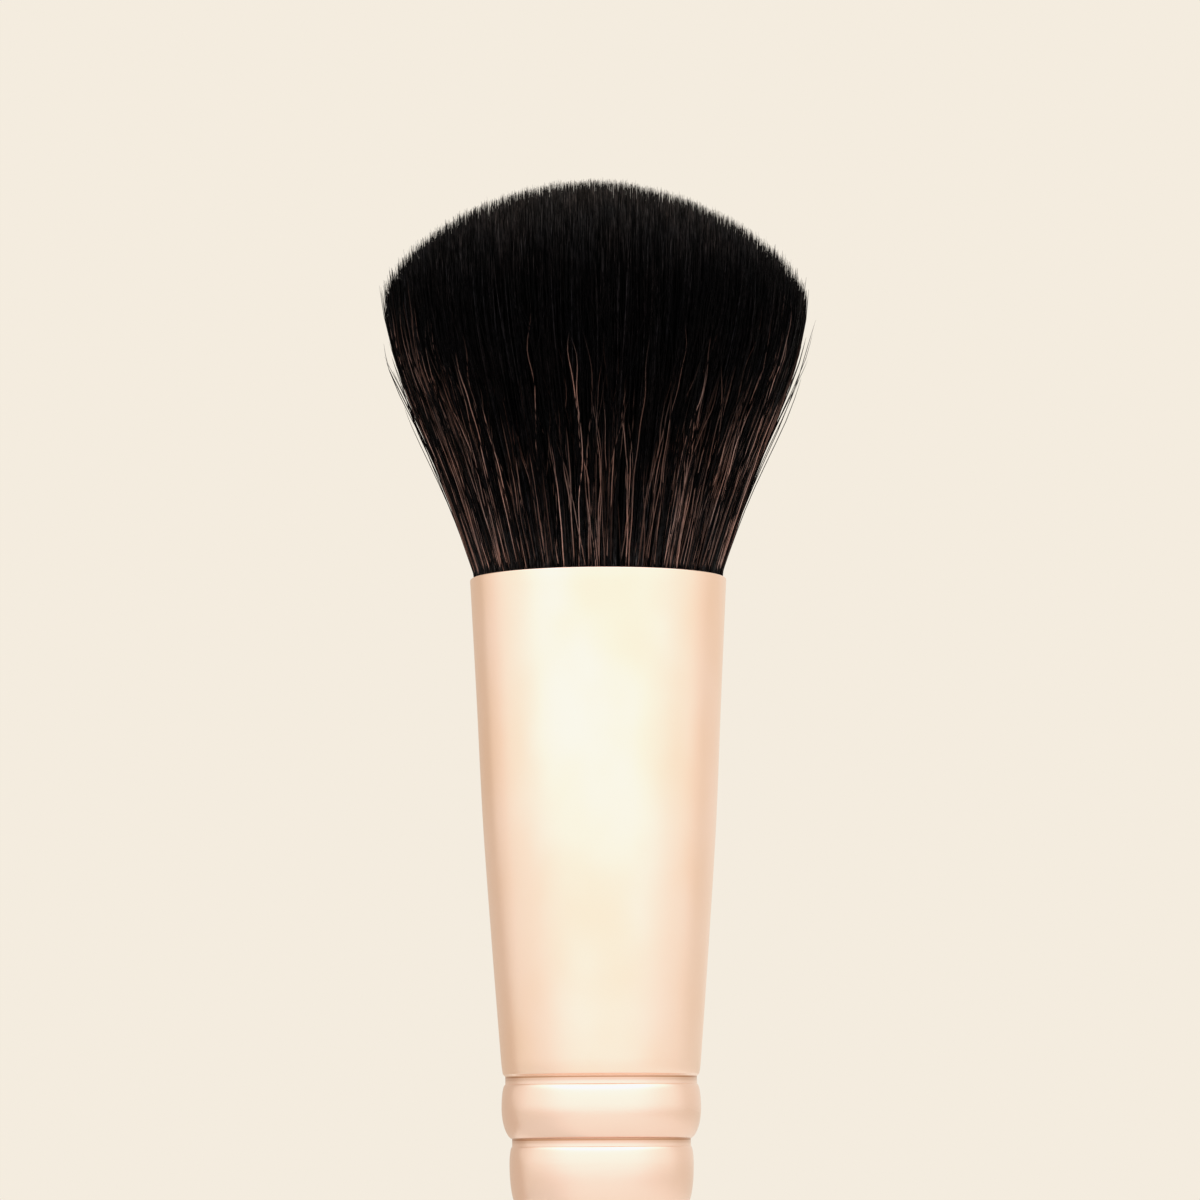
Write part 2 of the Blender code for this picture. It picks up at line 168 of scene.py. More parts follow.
# Handle outline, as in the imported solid, and its finish
SEAT_GAP = 0.3 * MM
GLUE_THICKNESS = 0.3 * MM
TENON_INSET = FERRULE_WALL + SEAT_GAP + GLUE_THICKNESS + SEAT_GAP
TENON_CHAMFER = 0.8 * MM
SHOULDER_RADIUS = 6.95 * MM
SHOULDER_ROUND = 0.6 * MM
SWELL_RADIUS = 7.7 * MM
TAIL_RADIUS = 3.6 * MM
TAIL_ROUND = 3.2 * MM
TAIL_FLAT_RADIUS = 1.5 * MM
HANDLE_HEIGHT_SHARES = (0.0, 0.16, 0.36, 0.56, 0.76, 1.0)
HANDLE_SWELL_SHARES = (0.0, 0.12, 0.42, 0.8, 1.0)
LACQUER = (0.010, 0.009, 0.009)
LACQUER_BROWN = (0.020, 0.014, 0.012)
LACQUER_ROUGHNESS = (0.13, 0.21)
LACQUER_DETAIL = 3
WOOD_GRAINS = (1400, 1400, 90)
WOOD_DEPTH = 0.002 * MM

# Root inside the ferrule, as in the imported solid, and its finish
ROOT_FACE_DEPTH = 0.8 * MM
ROOT_HEEL = 0.8 * MM
WAIST_SLOPE = 1.1 * MM
WAIST_LENGTH = 4.75 * MM
CUP_LIP = 0.8 * MM
CUP_WALL = 0.6 * MM
THREAD_DIAMETER = 0.7 * MM
THREAD_COVER = 0.1 * MM
ROOT_COLOUR = (0.012, 0.010, 0.010)
ROOT_BROWN = (0.07, 0.038, 0.028)
ROOT_ROUGHNESS = 0.45
ROOT_GRAINS = (5000, 5000, 60)
ROOT_DETAIL = 1

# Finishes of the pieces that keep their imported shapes: each one's name, its two colours, its
# roughness and its grains
GLUE_GRAINS = (900, 900, 900)
YARN_GRAINS = (5000, 5000, 9000)
INNER_FINISHES = {
    "root_adhesive": ("root_resin", (0.60, 0.42, 0.16), (0.42, 0.26, 0.08), 0.15, GLUE_GRAINS),
    "tenon_adhesive": ("tenon_glue", (0.80, 0.73, 0.55), (0.66, 0.57, 0.38), 0.4, GLUE_GRAINS),
    "binding_thread": ("binding_yarn", (0.82, 0.77, 0.66), (0.55, 0.49, 0.39), 0.85, YARN_GRAINS),
}
RELIEF = 0.02 * MM
RELIEF_DETAIL = 4

# Plain values of every finish: how much detail a noise has, the part of its range that it mostly
# fills, and how much a surface shines
NOISE_DETAIL = 2
NOISE_LOW = 0.25
NOISE_HIGH = 0.75
PLAIN_SHINE = 0.5

# Turned pieces: their sides, and the points along a rounding, along the ferrule's body and along
# the handle's taper
SIDES = 160
STEPS = 16
BODY_STEPS = 32
TAPER_STEPS = 64
SHARP_ANGLE = math.radians(35)
MERGE = 0.001 * MM

# Tuft outline: the radius of its outermost filaments, at heights over the mouth
FLARE_HEIGHTS = np.array((0, 2.4, 6.2, 9.9, 13.7, 17.5, 21, 26, 32)) * MM
FLARE_RADII = np.array((9.56, 10.38, 11.68, 13.05, 14.55, 15.85, 16.45, 16.65, 16.65)) * MM
FLARE_SAMPLES = 200
DOME_HEIGHT = 10.9 * MM
DOME_RADIUS = 16.8 * MM
DOME_FULLNESS = (1.92, 1.6)
DOME_TILT = 0.023
TIP_RISE = 0.12 * MM
HALVINGS = 30

# Filaments. Their middles are laid out on a disc of radius 1, which the flare then spreads.
GOLDEN_ANGLE = math.pi * (3 - math.sqrt(5))
FILAMENT_ROUGHNESS = 0.42
FILAMENT_SHINE = 0.02
SEED = 11
BLACK_COUNT = 22000
BLACK_EXTENT = 0.992
CLUMP_COUNT = 4500
OUTER_SHARE = 0.8
FILAMENT_RADIUS = 0.056 * MM
THICKNESSES = (0.4, 1.2)
FINE_ABOVE = 0.25 * MM
TIP_RADIUS = 0.008 * MM
TAPER_POWER = 12
FILAMENT_SIDES = 3
OUTER_KNOTS = np.array((*np.linspace(0, 0.9, 10), 0.96, 1.0))
BROWN_KNOTS = np.linspace(0, 1, 36)
INNER_KNOTS = np.array((0.0, 0.5, 0.8, 0.94, 1.0))
ROOT_JITTER = 0.6
ROOT_SINK = 1.4 * MM
CLUMP_TIP_SPREAD = 0.1 * MM
TIP_SPREAD = 0.22 * MM
SHORT_SHARE = 0.1
SHORT_BY = 5 * MM
# How far tips bend outwards, where along the filament that starts, and how it grows from there
SPLAY = (0.0, 0.035)
SPLAY_POWER = 2.5
SPLAY_START = 0.6
SPLAY_GROWTH = 2
PULL = (0.05, 0.42)
BLACK_WAVE = 0.012
BLACK_CYCLES = (0.4, 1.3)
WAVE_POWER = 0.7
BLACK_TONE = (0.1, 4.4)
GLEAM_POWER = 2.6
CLUMP_TONE = (0.6, 1.4)
# Colours of the black filaments at heights over the mouth, with painted light near the dome's top
BLACK_HEIGHTS = np.array((0, 1.2, 4, 8, 19, 22.6, 25.7, 30)) * MM
BLACK_COLOURS_AND_LIGHT = (
    (0.0105, 0.0098, 0.0098),
    (0.0062, 0.0056, 0.0056),
    (0.0030, 0.0026, 0.0027),
    (0.0020, 0.0017, 0.0018),
    (0.0019, 0.0016, 0.0017),
    (0.0027, 0.0023, 0.0023),
    (0.0062, 0.0053, 0.0051),
    (0.0134, 0.0114, 0.0101),
)

# Short streaks and slow changes of tint over all the filaments
STREAK_GRAINS = (5500, 5500, 1500)
STREAK_TONES = (0.12, 2.15)
BROWN_STREAKS = (0.8, 1.2)
TINT_GRAINS = (400, 400, 250)
TINTS = ((0.93, 1.0, 1.06), (1.14, 1.0, 0.95))

# Brown filaments, which lie in loose locks near the outside and turn black on the way up
BROWN_LOCKS = 560
LOCK_SIZES = (1, 3)
LOCK_SPREAD = math.radians(2)
BROWN_SHARES = (0.95, 1.0)
SHALLOW_POWER = 2.2
BROWN_RADII = (0.027 * MM, 0.053 * MM)
BROWN_COLOUR = (0.310, 0.179, 0.142)
BROWN_TONE = (0.06, 1.22)
DIM_POWER = 1.5
BROWN_FADE = (0.17, 0.59)
SHORT_POWER = 1.25
FLANK_FADE = 0.27
FLANK_POWER = 4
FADE_LENGTHS = (0.08, 0.3)
# Some of them start deeper, and come to the surface further up
BURIED_SHARE = 0.2
BURIED_DEPTH = 0.12
BURIED_REACHES = (0.2, 0.5)
# How far the locks lean sideways, and the filaments in them
LOCK_LEAN = 0.065
BROWN_LEAN = 0.0325
# Size and cycles of the long sweep, the bends and the short crimp in a brown filament
BROWN_WAVES = ((0.045, (0.5, 1.3)), (0.017, (2.0, 3.5)), (0.0045, (5, 9)))
INWARD_WAVE = 0.3

# Strays, which stand clear of the flanks
STRAY_LOCKS = 150
STRAY_SIZES = (1, 5)
STRAY_SPREAD = math.radians(1.8)
STRAY_RADIUS = 0.04 * MM
STRAY_WAVE = 0.05
STRAY_REACHES = (0.5, 0.9)
STRAY_UNEVEN = 0.09
STRAY_STANDOFF = (0.01, 0.1)
STRAY_STANDOFF_SHARES = (0.5, 1.0)
STRAY_STARTS = (0.12, 0.42)

# Map that spreads the filaments for baking: a cell for each
MAP_COLUMNS = 150
CELL_START = 0.2
CELL_SIDE = 0.3
CELL_MARGIN = 0.1


def surface(name, colour, roughness, metallic=0.0, shine=PLAIN_SHINE):
    """A material and its Principled shader."""
    made = bpy.data.materials.new(name)
    made.use_nodes = True
    shader = made.node_tree.nodes["Principled BSDF"]
    shader.inputs["Base Color"].default_value = (*colour, 1)
    shader.inputs["Roughness"].default_value = roughness
    shader.inputs["Metallic"].default_value = metallic
    shader.inputs["Specular IOR Level"].default_value = shine
    return made, shader


def node(tree, kind, inputs=None, **settings):
    """A shader node. Its inputs are values or other nodes' sockets, by name or number."""
    made = tree.nodes.new("ShaderNode" + kind)
    for key, value in settings.items():
        setattr(made, key, value)
    for key, value in (inputs or {}).items():
        if isinstance(value, bpy.types.NodeSocket):
            tree.links.new(value, made.inputs[key])
        else:
            made.inputs[key].default_value = value
    return made


def noise(tree, grains, detail=NOISE_DETAIL):
    """Noise from 0 to 1 on the piece's own coordinates, with that many grains a metre each way."""
    place = node(tree, "TexCoord").outputs["Object"]
    stretched = node(tree, "Mapping", {"Vector": place, "Scale": grains}).outputs["Vector"]
    made = node(tree, "TexNoise", {"Vector": stretched, "Scale": 1, "Detail": detail})
    return made.outputs["Fac"]


def spread_over(tree, value, low, high, start=NOISE_LOW, end=NOISE_HIGH):
    """A value taken from one range to another, smoothly."""
    inputs = {"Value": value, "From Min": start, "From Max": end, "To Min": low, "To Max": high}
    return node(tree, "MapRange", inputs, interpolation_type="SMOOTHSTEP").outputs["Result"]


def mixed(tree, share, first, second):
    """One colour turning to another."""
    made = node(tree, "Mix", {"Factor": share}, data_type="RGBA")
    for socket, colour in zip(("A_Color", "B_Color"), (first, second)):
        target = next(s for s in made.inputs if s.identifier == socket)
        if isinstance(colour, bpy.types.NodeSocket):
            tree.links.new(colour, target)
        else:
            target.default_value = (*colour, 1)
    return next(s for s in made.outputs if s.identifier == "Result_Color")


def bump(tree, height, depth, shader):
    """Relief of that depth on a shader."""
    made = node(tree, "Bump", {"Height": height, "Distance": depth, "Strength": 1})
    tree.links.new(made.outputs["Normal"], shader.inputs["Normal"])


def pixel_angle(pixels):
    """How far off the lens's axis something lies that many pixels from the frame's middle."""
    return math.atan(pixels / FOCAL_PX)


def make_camera():
    """A long lens a little below the ferrule's mouth, which looks slightly up."""
    lens = bpy.data.cameras.new("camera")
    lens.sensor_fit = "HORIZONTAL"
    lens.sensor_width = SENSOR_MM
    lens.lens = FOCAL_PX / PHOTO_SIDE_PX * SENSOR_MM
    lens.clip_start, lens.clip_end = CLIP_START, CLIP_END
    camera = bpy.data.objects.new("camera", lens)
    pitch = pixel_angle(HORIZON_PX - PHOTO_SIDE_PX / 2)
    aside = AXIS_LEFT_PX / FOCAL_PX * CAMERA_DISTANCE
    place = Matrix.Translation((aside, -CAMERA_DISTANCE, MOUTH_Z - CAMERA_BELOW_MOUTH))
    turn = Matrix.Rotation(math.pi / 2 + pitch, 4, "X") @ Matrix.Rotation(-LEAN, 4, "Z")
    camera.matrix_world = place @ turn
    bpy.context.collection.objects.link(camera)
    bpy.context.scene.camera = camera


def make_world():
    """The even cream backdrop, which also lights the brush from all sides."""
    world = bpy.data.worlds.new("backdrop")
    world.use_nodes = True
    world.node_tree.nodes["Background"].inputs["Color"].default_value = (*CREAM, 1)
    bpy.context.scene.world = world


def make_film():
    """Plain film, which rounds off only the brightest light."""
    settings = bpy.context.scene.view_settings
    settings.view_transform = "Standard"
    settings.use_curve_mapping = True
    mapping = settings.curve_mapping
    mapping.clip_max_x = TONE_CURVE[-1][0]
    curve = mapping.curves[COMBINED_CURVE]
    curve.points[0].location, curve.points[1].location = TONE_CURVE[0], TONE_CURVE[-1]
    for place in TONE_CURVE[1:-1]:
        curve.points.new(*place)
    for point in curve.points:
        point.handle_type = "VECTOR"
    mapping.update()


def facing(azimuth, distance, low, high):
    """The place and turn of an upright panel that faces the brush.

    Azimuth 0 is the camera's side and a quarter turn is its right.
    """
    across, back = distance * math.sin(azimuth), -distance * math.cos(azimuth)
    place = Matrix.Translation((across, back, (low + high) / 2))
    return place @ Matrix.Rotation(azimuth, 4, "Z") @ Matrix.Rotation(math.pi / 2, 4, "X")


def azimuth_of(tree, place):
    """How far round from the camera's side a separated place lies, either way."""
    ahead = node(tree, "Math", {0: place.outputs["Y"], 1: -1}, operation="MULTIPLY").outputs[0]
    angles = {0: place.outputs["X"], 1: ahead}
    turned_by = node(tree, "Math", angles, operation="ARCTAN2").outputs[0]
    return node(tree, "Math", {0: turned_by}, operation="ABSOLUTE").outputs[0]


def make_screen():
    """The lit screen, which adds its light to what is behind it."""
    mesh = bpy.data.meshes.new("lit_screen")
    points = []
    for column in range(SCREEN_COLUMNS + 1):
        azimuth = SCREEN_REACH * (2 * column / SCREEN_COLUMNS - 1)
        across, back = SCREEN_DISTANCE * math.sin(azimuth), -SCREEN_DISTANCE * math.cos(azimuth)
        points += [(across, back, 0), (across, back, SCREEN_HEIGHT)]
    firsts = range(0, 2 * SCREEN_COLUMNS, 2)
    mesh.from_pydata(points, [], [(k, k + 1, k + 3, k + 2) for k in firsts])
    finish = bpy.data.materials.new("lit_screen")
    finish.use_nodes = True
    tree = finish.node_tree
    tree.nodes.clear()
    place = node(tree, "SeparateXYZ", {0: node(tree, "TexCoord").outputs["Object"]})
    azimuth = azimuth_of(tree, place)
    height = place.outputs["Z"]
    aside = spread_over(tree, azimuth, 0, 1, *SCREEN_TURNS)
    colour = mixed(tree, aside, SCREEN_AHEAD, SCREEN_ASIDE)
    low = spread_over(tree, azimuth, *SCREEN_LOWS, *SCREEN_LOW_TURNS)
    over = node(tree, "Math", {0: height, 1: low}, operation="SUBTRACT").outputs[0]
    gain = spread_over(tree, over, 0, 1, -SCREEN_SOFT, SCREEN_SOFT)
    fade = spread_over(tree, azimuth, 1, 0, *SCREEN_FADES)
    bright = spread_over(tree, height, 1, SCREEN_TOP_GAIN, *SCREEN_TOP)
    for factor in (fade, bright):
        gain = node(tree, "Math", {0: gain, 1: factor}, operation="MULTIPLY").outputs[0]
    glow = node(tree, "Emission", {"Color": colour, "Strength": gain}).outputs[0]
    behind = node(tree, "BsdfTransparent").outputs[0]
    both = node(tree, "AddShader", {0: glow, 1: behind}).outputs[0]
    node(tree, "OutputMaterial", {"Surface": both})
    mesh.materials.append(finish)
    screen = bpy.data.objects.new("lit_screen", mesh)
    screen.visible_camera = screen.visible_shadow = False
    bpy.context.collection.objects.link(screen)


def make_card():
    """A beige card at the left, behind the brush, glowing with its own light, seen only in
    reflections.
    """
    behind, low, high = [
        CARD_DISTANCE * math.tan(angle) for angle in (CARD_BEHIND, CARD_AHEAD_LOW, CARD_AHEAD_HIGH)
    ]
    bend, top = CARD_SLANT
    outline = [(-behind, 0), (low, 0), (low, bend), (high, top), (high, CARD_HEIGHT)]
    outline.append((-behind, CARD_HEIGHT))
    mesh = bpy.data.meshes.new("beige_card")
    corners = [(across, up - CARD_HEIGHT / 2, 0) for across, up in outline]
    mesh.from_pydata(corners, [], [tuple(range(len(corners)))])
    finish, shader = surface("beige_card", (0, 0, 0), 1, shine=0)
    shader.inputs["Emission Color"].default_value = (*CARD_RADIANCE, 1)
    shader.inputs["Emission Strength"].default_value = 1
    mesh.materials.append(finish)
    card = bpy.data.objects.new("beige_card", mesh)
    card.matrix_world = facing(CARD_AZIMUTH, CARD_DISTANCE, 0, CARD_HEIGHT)
    card.visible_camera = card.visible_shadow = card.visible_diffuse = False
    bpy.context.collection.objects.link(card)


def make_floor():
    """A pale floor under the tail, with painted shade near the brush on its left."""
    builder = bmesh.new()
    bmesh.ops.create_circle(builder, cap_ends=True, radius=FLOOR_RADIUS, segments=FLOOR_SIDES)
    mesh = bpy.data.meshes.new("floor")
    builder.to_mesh(mesh)
    builder.free()
    paper, shader = surface("floor_paper", FLOOR_COLOUR, FLOOR_ROUGHNESS, shine=FLOOR_SHINE)
    tree = paper.node_tree
    place = node(tree, "TexCoord").outputs["Object"]
    across = node(tree, "SeparateXYZ", {0: place}).outputs["X"]
    distance = node(tree, "VectorMath", {0: place}, operation="LENGTH").outputs["Value"]
    # Painted shade, darkest near the brush on its left
    share = node(tree, "Math", {0: across, 1: distance}, operation="DIVIDE").outputs[0]
    aside = spread_over(tree, share, 1, 0, *FLOOR_LEFT_SHARES)
    near = spread_over(tree, distance, 1, 0, *FLOOR_NEAR)
    shade = node(tree, "Math", {0: aside, 1: near}, operation="MULTIPLY").outputs[0]
    tree.links.new(mixed(tree, shade, FLOOR_COLOUR, FLOOR_SHADE_COLOUR), shader.inputs["Base Color"])
    mesh.materials.append(paper)
    floor = bpy.data.objects.new("floor", mesh)
    bpy.context.collection.objects.link(floor)


def smooth_value(places, values, place):
    """The value at a place on a curve through stations, which never overshoots them."""
    last = len(places) - 1
    slopes = [(values[i + 1] - values[i]) / (places[i + 1] - places[i]) for i in range(last)]
    at_station = [slopes[0]]
    for before, after in zip(slopes, slopes[1:]):
        rising = before * after > 0
        at_station.append(2 * before * after / (before + after) if rising else 0.0)
    at_station.append(slopes[-1])
    i = max(k for k in range(last) if k == 0 or place >= places[k])
    width = places[i + 1] - places[i]
    t = (place - places[i]) / width
    return (
        values[i] * (2 * t**3 - 3 * t**2 + 1)
        + values[i + 1] * (3 * t**2 - 2 * t**3)
        + width * at_station[i] * (t**3 - 2 * t**2 + t)
        + width * at_station[i + 1] * (t**3 - t**2)
    )


def bead_outline(top, length, radii, crest_share, powers):
    """A bead's outline from the floor of one groove over its crest to the next floor."""
    above, crest, below = radii
    crest_depth = top + length * crest_share
    points = []
    for step in range(STEPS + 1):
        out = math.cos(step / STEPS * math.pi / 2)
        rise = max(0, 1 - out * out) ** powers[0]
        points.append((crest_depth + (top - crest_depth) * out, above + (crest - above) * rise))
    for step in range(1, STEPS + 1):
        out = math.sin(step / STEPS * math.pi / 2)
        rise = max(0, 1 - out * out) ** powers[1]
        depth = crest_depth + (top + length - crest_depth) * out
        points.append((depth, below + (crest - below) * rise))
    return points


def body_radius(depth):
    """The radius of the ferrule's long tapered body."""
    taper = smooth_value(BODY_DEPTH_SHARES, BODY_TAPER_SHARES, depth / BODY_LENGTH)
    return MOUTH_RADIUS + (NECK_RADIUS - MOUTH_RADIUS) * taper


def ferrule_outline():
    """The ferrule's outside from its mouth down, as (depth, radius) points."""
    points = []
    straight = BODY_LENGTH - NECK_ROUND
    for depth in np.linspace(0, straight, BODY_STEPS):
        points.append((float(depth), body_radius(depth)))
    for step in range(1, STEPS + 1):
        angle = step / STEPS * math.pi / 2
        depth = straight + NECK_ROUND * math.sin(angle)
        points.append((depth, body_radius(depth) - NECK_DROP * (1 - math.cos(angle))))
    points.append((UPPER_GROOVE_DEPTH, UPPER_GROOVE_RADIUS))
    upper_bead = UPPER_GROOVE_DEPTH + GROOVE_FLOOR
    lower_bead = MIDDLE_GROOVE_DEPTH + GROOVE_FLOOR
    collar = LOWER_GROOVE_DEPTH + GROOVE_FLOOR
    upper_radii = (UPPER_GROOVE_RADIUS, UPPER_BEAD_RADIUS, MIDDLE_GROOVE_RADIUS)
    lower_radii = (MIDDLE_GROOVE_RADIUS, LOWER_BEAD_RADIUS, LOWER_GROOVE_RADIUS)
    collar_radii = (LOWER_GROOVE_RADIUS, COLLAR_RADIUS, COLLAR_END_RADIUS)
    points += bead_outline(
        upper_bead, UPPER_BEAD_LENGTH, upper_radii, UPPER_CREST_SHARE, UPPER_BEAD_POWERS
    )
    points += bead_outline(
        lower_bead, LOWER_BEAD_LENGTH, lower_radii, LOWER_CREST_SHARE, LOWER_BEAD_POWERS
    )
    points += bead_outline(collar, COLLAR_LENGTH, collar_radii, COLLAR_CREST_SHARE, COLLAR_POWERS)
    return points


def rounded_mouth(outline):
    """The ferrule's outside with its mouth edge rounded."""
    _, radius = outline[0]
    arc = []
    for step in range(STEPS + 1):
        angle = step / STEPS * math.pi / 2
        sink = MOUTH_ROUND * (1 - math.sin(angle))
        arc.append((sink, radius - MOUTH_ROUND * (1 - math.cos(angle))))
    return arc[::-1] + outline[1:]


def turned(name, outline, finish):
    """A piece turned round the Z axis from (depth, radius) points."""
    builder = bmesh.new()
    profile = [builder.verts.new((radius, 0, MOUTH_Z - depth)) for depth, radius in outline]
    edges = [builder.edges.new(pair) for pair in zip(profile, profile[1:])]
    centre, axis, still = (0, 0, 0), (0, 0, 1), (0, 0, 0)
    bmesh.ops.spin(
        builder,
        geom=profile + edges,
        cent=centre,
        axis=axis,
        dvec=still,
        angle=2 * math.pi,
        steps=SIDES,
        use_merge=True,
    )
    bmesh.ops.remove_doubles(builder, verts=builder.verts, dist=MERGE)
    bmesh.ops.recalc_face_normals(builder, faces=builder.faces)
    mesh = bpy.data.meshes.new(name)
    builder.to_mesh(mesh)
    builder.free()
    mesh.materials.append(finish)
    mesh.shade_smooth()
    mesh.set_sharp_from_angle(angle=SHARP_ANGLE)
    made = bpy.data.objects.new(name, mesh)
    bpy.context.collection.objects.link(made)
    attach(made, "root")
    return made


def radius_at(outline, depth):
    """An outline's radius at a depth."""
    return float(np.interp(depth, *zip(*outline)))


def stretch(outline, top, bottom, inset):
    """The part of an outline between two depths, set in by a distance."""
    inner = [(depth, radius - inset) for depth, radius in outline if top < depth < bottom]
    ends = [(depth, radius_at(outline, depth) - inset) for depth in (top, bottom)]
    return [ends[0], *inner, ends[1]]


def rose_gold():
    """Polished rose-gold metal, faintly smudged, with painted shade in the grooves and on the beads.
    """
    made, shader = surface("rose_gold", ROSE_GOLD, GOLD_ROUGHNESS, metallic=1.0)
    tree = made.node_tree
    height = node(tree, "SeparateXYZ", {0: node(tree, "TexCoord").outputs["Object"]}).outputs["Z"]
    # Painted shade in each groove: a dark line, and a fainter shade under it
    dark = 0
    for depth, reach in zip(GROOVE_DEPTHS, SHADE_REACHES):
        line = {0: MOUTH_Z - depth - SHADE_SINK, 1: height}
        below = node(tree, "Math", line, operation="SUBTRACT").outputs[0]
        away = node(tree, "Math", {0: below}, operation="ABSOLUTE").outputs[0]
        film = spread_over(tree, below, 0, UNDER_SHADE_SHARE, -reach, 0)
        thinned = spread_over(tree, below, UNDER_SHADE_SHARE, 0, *UNDER_SHADE_LENGTHS)
        film = node(tree, "Math", {0: film, 1: thinned}, operation="MINIMUM").outputs[0]
        for shade_part in (spread_over(tree, away, 1, 0, SHADE_START, reach), film):
            dark = node(tree, "Math", {0: dark, 1: shade_part}, operation="MAXIMUM").outputs[0]
    # The beads below the upper groove are painted darker, as shade
    top = MOUTH_Z - UPPER_GROOVE_DEPTH
    bead_shade = spread_over(tree, height, 1, 0, top - BEAD_SHADE_EDGE, top)
    smudge = spread_over(tree, noise(tree, SMUDGE_GRAINS), 0, 1)
    metal = mixed(tree, smudge, ROSE_GOLD, SMUDGED_GOLD)
    metal = mixed(tree, bead_shade, metal, SHADED_BEAD_GOLD)
    tree.links.new(mixed(tree, dark, metal, GROOVE_SHADE_GOLD), shader.inputs["Base Color"])
    return made


def make_ferrule():
    """The drawn tube with its crimps, much finer than the solid it stands for."""
    outside = ferrule_outline()
    inside = [(depth, radius - FERRULE_WALL) for depth, radius in outside]
    closed = rounded_mouth(outside) + inside[::-1]
    made = turned("ferrule_tube", [*closed, closed[0]], rose_gold())
    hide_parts("ferrule")


def lacquer():
    """Black satin lacquer over turned wood, whose grain shows through as the faintest relief."""
    made, shader = surface("black_lacquer", LACQUER, sum(LACQUER_ROUGHNESS) / 2)
    tree = made.node_tree
    worn = spread_over(tree, noise(tree, SMUDGE_GRAINS, LACQUER_DETAIL), *LACQUER_ROUGHNESS)
    tree.links.new(worn, shader.inputs["Roughness"])
    shade = mixed(tree, noise(tree, WOOD_GRAINS, LACQUER_DETAIL), LACQUER, LACQUER_BROWN)
    tree.links.new(shade, shader.inputs["Base Color"])
    bump(tree, noise(tree, WOOD_GRAINS, LACQUER_DETAIL), WOOD_DEPTH, shader)
    return made


def make_handle():
    """The turned handle: its tenon, its shoulder, the swell, the taper and the rounded tail."""
    outline = ferrule_outline()
    tenon_top = MOUTH_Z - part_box("handle")[1].z
    tenon = stretch(outline, tenon_top + TENON_CHAMFER, FERRULE_LENGTH, TENON_INSET)
    shoulder = FERRULE_LENGTH + SEAT_GAP
    points = [(tenon_top, 0), (tenon_top, tenon[0][1] - TENON_CHAMFER), *tenon]
    points.append((shoulder, tenon[-1][1]))
    for step in range(STEPS + 1):
        angle = step / STEPS * math.pi / 2
        drop = SHOULDER_ROUND * (1 - math.cos(angle))
        points.append((shoulder + drop, SHOULDER_RADIUS - SHOULDER_ROUND * (1 - math.sin(angle))))
    low, high = TAIL_ROUND, MOUTH_Z - shoulder - SHOULDER_ROUND
    shoulder_share = (SHOULDER_RADIUS - TAIL_RADIUS) / (SWELL_RADIUS - TAIL_RADIUS)
    swells = (*HANDLE_SWELL_SHARES, shoulder_share)
    for share in (1 - step / TAPER_STEPS for step in range(1, TAPER_STEPS + 1)):
        swell = smooth_value(HANDLE_HEIGHT_SHARES, swells, share)
        radius = TAIL_RADIUS + (SWELL_RADIUS - TAIL_RADIUS) * swell
        points.append((MOUTH_Z - low - (high - low) * share, radius))
    for step in range(1, STEPS + 1):
        angle = step / STEPS * math.pi / 2
        radius = TAIL_FLAT_RADIUS + (TAIL_RADIUS - TAIL_FLAT_RADIUS) * math.cos(angle)
        points.append((MOUTH_Z - TAIL_ROUND * (1 - math.sin(angle)), radius))
    points.append((MOUTH_Z, 0))
    made = turned("handle_wood", points, lacquer())
    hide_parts("handle")


def finish_inner_pieces():
    """Resin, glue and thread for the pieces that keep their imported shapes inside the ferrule."""
    for piece, (name, pale, dark, roughness, grains) in INNER_FINISHES.items():
        finish, shader = surface(name, pale, roughness)
        tree = finish.node_tree
        tree.links.new(mixed(tree, noise(tree, grains), pale, dark), shader.inputs["Base Color"])
        bump(tree, noise(tree, grains, RELIEF_DETAIL), RELIEF, shader)
        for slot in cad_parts[piece].material_slots:
            slot.material = finish


def root_outline():
    """The bonded root inside the ferrule, with the waist that the thread draws in."""
    outline = ferrule_outline()

    def seat(depth):
        return radius_at(outline, depth) - FERRULE_WALL - SEAT_GAP

    def cup(depth):
        return seat(depth) - CUP_WALL - SEAT_GAP

    waist_end = ROOT_END_DEPTH - ROOT_HEEL - WAIST_SLOPE
    waist_top = waist_end - WAIST_LENGTH
    waist = cup(waist_end) - THREAD_COVER - THREAD_DIAMETER - SEAT_GAP
    narrowed = waist_top - WAIST_SLOPE - CUP_LIP - SEAT_GAP
    points = [(ROOT_FACE_DEPTH, 0)]
    points += [(depth, seat(depth)) for depth in (ROOT_FACE_DEPTH, narrowed - CUP_WALL - SEAT_GAP)]
    points += [(depth, cup(depth)) for depth in (narrowed, waist_top - WAIST_SLOPE)]
    points += [(waist_top, waist), (waist_end, waist)]
    points += [(depth, cup(depth)) for depth in (waist_end + WAIST_SLOPE, ROOT_END_DEPTH)]
    return [*points, (ROOT_END_DEPTH, 0)]


def make_root():
    """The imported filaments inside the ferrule, as one bundle with its filaments as fine ridges."""
    finish, shader = surface("bonded_filament", ROOT_COLOUR, ROOT_ROUGHNESS)
    tree = finish.node_tree
    strands = noise(tree, ROOT_GRAINS, ROOT_DETAIL)
    shade = mixed(tree, spread_over(tree, strands, 0, 1), ROOT_COLOUR, ROOT_BROWN)
    tree.links.new(shade, shader.inputs["Base Color"])
    bump(tree, strands, RELIEF, shader)
    made = turned("filament_root", root_outline(), finish)
    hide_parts("tuft")


def flare_table():
    """Heights and the outermost filaments' radii there, close enough together to read between."""
    heights = np.linspace(FLARE_HEIGHTS[0], FLARE_HEIGHTS[-1], FLARE_SAMPLES)
    return heights, np.array([smooth_value(FLARE_HEIGHTS, FLARE_RADII, h) for h in heights])


FLARE_TABLE = flare_table()


def bundle_radius(heights):
    """The radius of the flaring bundle that the filaments follow, at heights over the mouth."""
    return np.interp(heights, *FLARE_TABLE)


